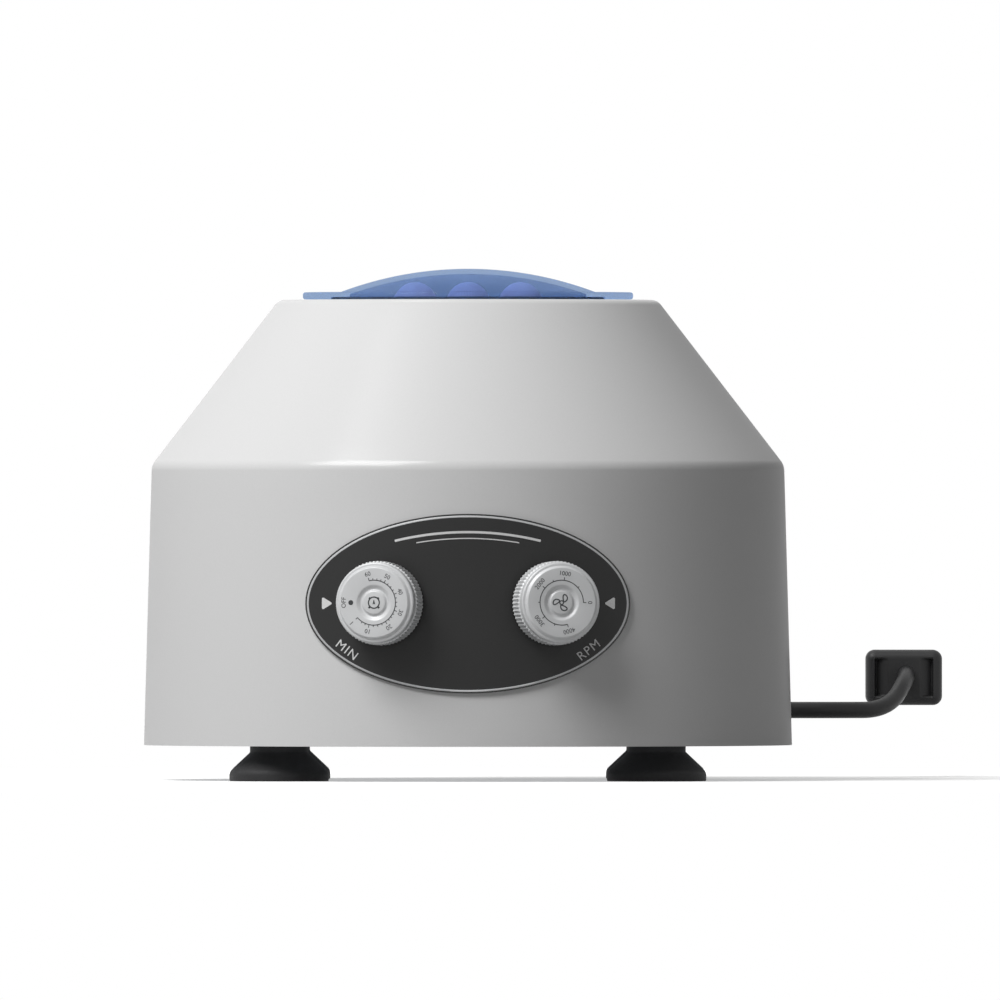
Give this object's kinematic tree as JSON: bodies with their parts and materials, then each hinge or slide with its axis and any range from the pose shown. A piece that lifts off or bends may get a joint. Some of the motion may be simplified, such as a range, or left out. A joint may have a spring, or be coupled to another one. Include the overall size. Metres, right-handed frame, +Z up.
{
  "type": "benchtop centrifuge",
  "caption": "Benchtop centrifuge: round painted housing with a coned top, lift-off translucent domed lid, fixed-angle tube rotor, and an oval panel with timer and speed knobs.",
  "frame": {"origin": "on the rotor axis, on the plane that the feet stand on", "axes": "+X to the right of the panel, +Y to the rear, +Z up along the rotor axis"},
  "size_m": [0.31, 0.3852, 0.1972],
  "materials": {
    "housing_paint": "pale grey stoved enamel",
    "plate_steel": "zinc-plated sheet",
    "black_rubber": "matt black rubber",
    "motor_black": "black enamel",
    "cast_alloy": "as cast, turned faces",
    "lamination": "varnished steel laminations",
    "copper": "enamelled copper",
    "carbon": "carbon",
    "panel_print": "dark grey screen-printed sheet with a silver border",
    "dark_plastic": "moulded plastic",
    "board_green": "glass-fibre board",
    "pale_plastic": "moulded plastic",
    "lead_black": "black cable sheath",
    "plug_brass": "plated brass",
    "sleeve_alloy": "drawn aluminium",
    "clear_tube": "clear plastic",
    "cap_lilac": "lilac moulded plastic",
    "lid_blue": "translucent blue plastic",
    "knob_silver": "silver-finished plastic"
  },
  "bodies": {
    "base": {"housing": "housing_paint", "base_plate": "plate_steel", "foot_front_left": "black_rubber", "foot_front_right": "black_rubber", "foot_rear_left": "black_rubber", "foot_rear_right": "black_rubber", "foot_screws": "plate_steel", "foot_nuts": "plate_steel", "base_screws": "plate_steel", "mouth_edging": "black_rubber", "chamber_pan": "housing_paint", "pan_posts": "plate_steel", "pan_screws": "plate_steel", "shaft_boot": "black_rubber", "motor_plate": "plate_steel", "motor_dampers": "black_rubber", "damper_screws": "plate_steel", "motor_can": "motor_black", "motor_screws": "plate_steel", "motor_bell": "cast_alloy", "stator_stack": "lamination", "field_windings": "copper", "brush_holders": "copper", "carbon_brushes": "carbon", "lower_bearing": "plate_steel", "upper_bearing": "plate_steel", "panel_plate": "panel_print", "timer_case": "dark_plastic", "timer_screws": "plate_steel", "speed_control": "dark_plastic", "speed_nut": "plate_steel", "control_board": "board_green", "heat_sink": "cast_alloy", "board_posts": "plate_steel", "terminal_block": "pale_plastic", "strain_relief": "lead_black", "relief_nut": "lead_black", "power_cord": "lead_black", "plug_body": "lead_black", "plug_pins": "plug_brass"},
    "rotor": {"motor_spindle": "plate_steel", "armature": "lamination", "commutator": "copper", "cooling_fan": "dark_plastic", "rotor_head": "cast_alloy", "rotor_nut": "plate_steel", "tube_sleeves": "sleeve_alloy", "sleeve_cushions": "black_rubber", "sample_tubes": "clear_tube", "tube_caps": "cap_lilac"},
    "lid": {"lid": "lid_blue"},
    "timer_dial": {"timer_knob": "knob_silver", "timer_shaft": "plate_steel"},
    "speed_dial": {"speed_knob": "knob_silver", "speed_shaft": "plate_steel"}
  },
  "joints": [
    {"name": "lid_lift", "type": "slide", "parent": "base", "child": "lid", "axis": [0, 0, 1], "range_m": [0, 0.08]},
    {"name": "rotor_spin", "type": "hinge", "parent": "base", "child": "rotor", "pos_m": [0, 0, 0.1], "axis": [0, 0, 1], "continuous": true},
    {"name": "timer_turn", "type": "hinge", "parent": "base", "child": "timer_dial", "pos_m": [-0.03196, -0.11927, 0.0683], "axis": [0.2587, 0.9656, -0.0278], "range_deg": [0, 283]},
    {"name": "speed_turn", "type": "hinge", "parent": "base", "child": "speed_dial", "pos_m": [0.03196, -0.11927, 0.0683], "axis": [-0.2587, 0.9656, -0.0278], "range_deg": [0, 285]}
  ]
}
